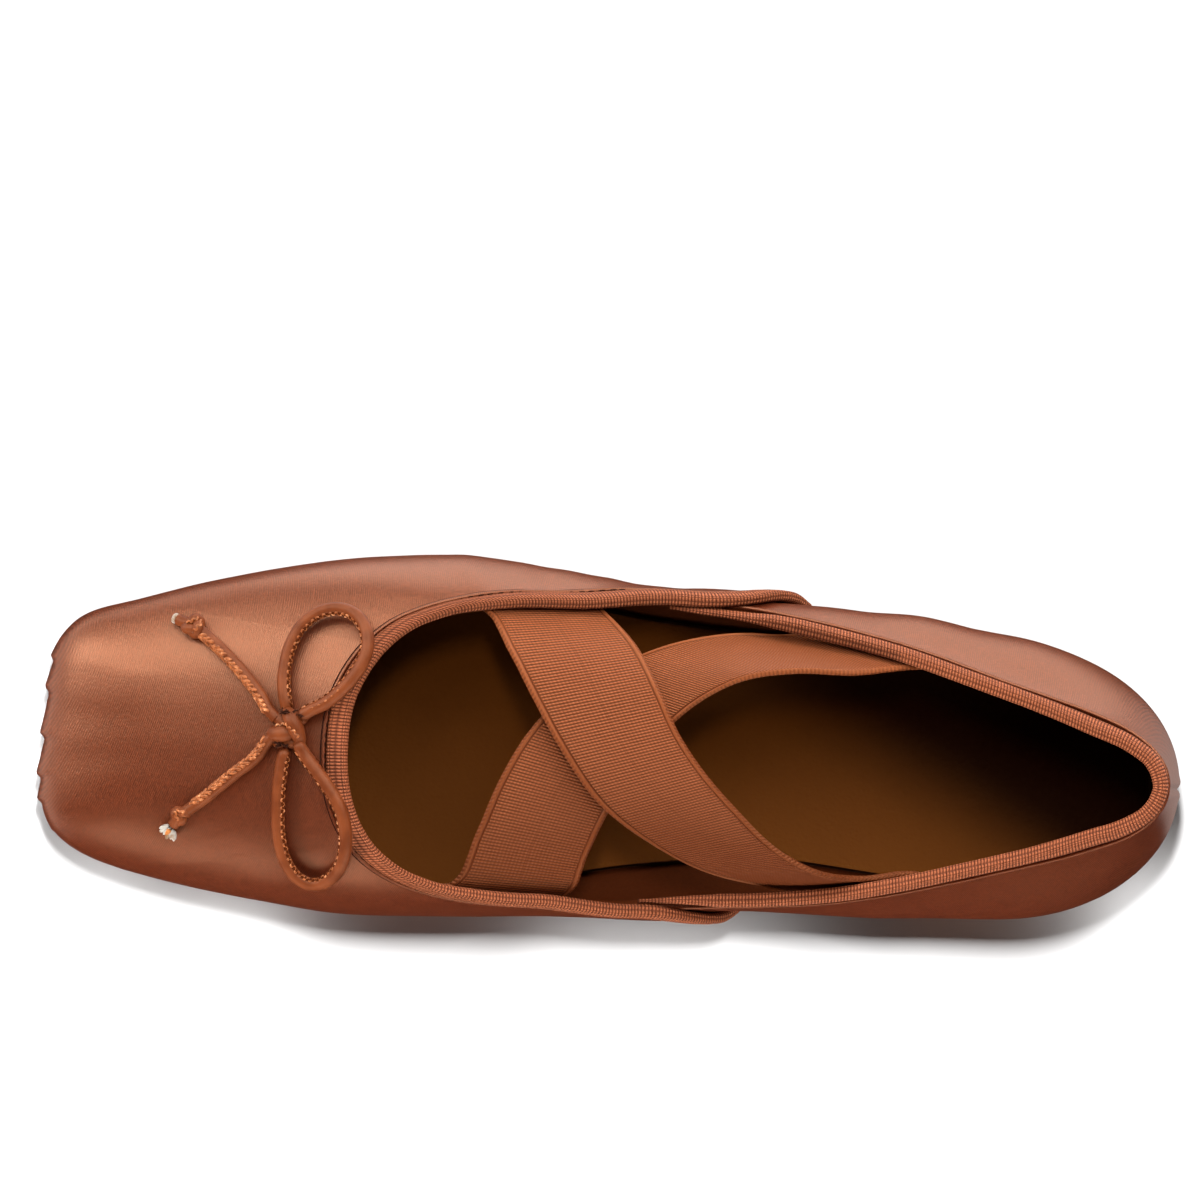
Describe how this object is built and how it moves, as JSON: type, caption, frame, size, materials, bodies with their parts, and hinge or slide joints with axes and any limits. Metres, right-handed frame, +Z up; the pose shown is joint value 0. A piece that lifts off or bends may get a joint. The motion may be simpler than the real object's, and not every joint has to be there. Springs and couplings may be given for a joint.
{
  "type": "ballet flat",
  "caption": "Square-toed satin ballet flat with a ribbed bound top line, crossed elastic straps and a small corded bow.",
  "frame": {"origin": "on the ground, under the middle of the shoe's box", "axes": "+X from the toe to the heel, +Y to the outer (lateral) side, +Z up"},
  "size_m": [0.2498, 0.0799, 0.0608],
  "materials": {
    "outsole": "matt dark brown rubber",
    "heel": "matt dark brown rubber",
    "insole": "smooth golden brown leather",
    "upper": "rust satin with a soft sheen",
    "vamp_binding": "ribbed rust tape",
    "quarter_binding": "ribbed rust tape",
    "strap_over": "ribbed rust elastic",
    "strap_under": "ribbed rust elastic",
    "bow_knot": "rust leather cord",
    "bow_loop_outer": "rust leather cord",
    "bow_loop_inner": "rust leather cord",
    "bow_tail_outer": "rust leather cord",
    "bow_tail_inner": "rust leather cord",
    "tail_knot_outer": "rust leather cord",
    "tail_knot_inner": "rust leather cord"
  },
  "bodies": {
    "root": {"outsole": "outsole", "heel": "heel", "insole": "insole", "upper": "upper", "vamp_binding": "vamp_binding", "quarter_binding": "quarter_binding", "strap_over": "strap_over", "strap_under": "strap_under", "bow_knot": "bow_knot", "bow_loop_outer": "bow_loop_outer", "bow_loop_inner": "bow_loop_inner", "bow_tail_outer": "bow_tail_outer", "bow_tail_inner": "bow_tail_inner", "tail_knot_outer": "tail_knot_outer", "tail_knot_inner": "tail_knot_inner"}
  },
  "joints": []
}
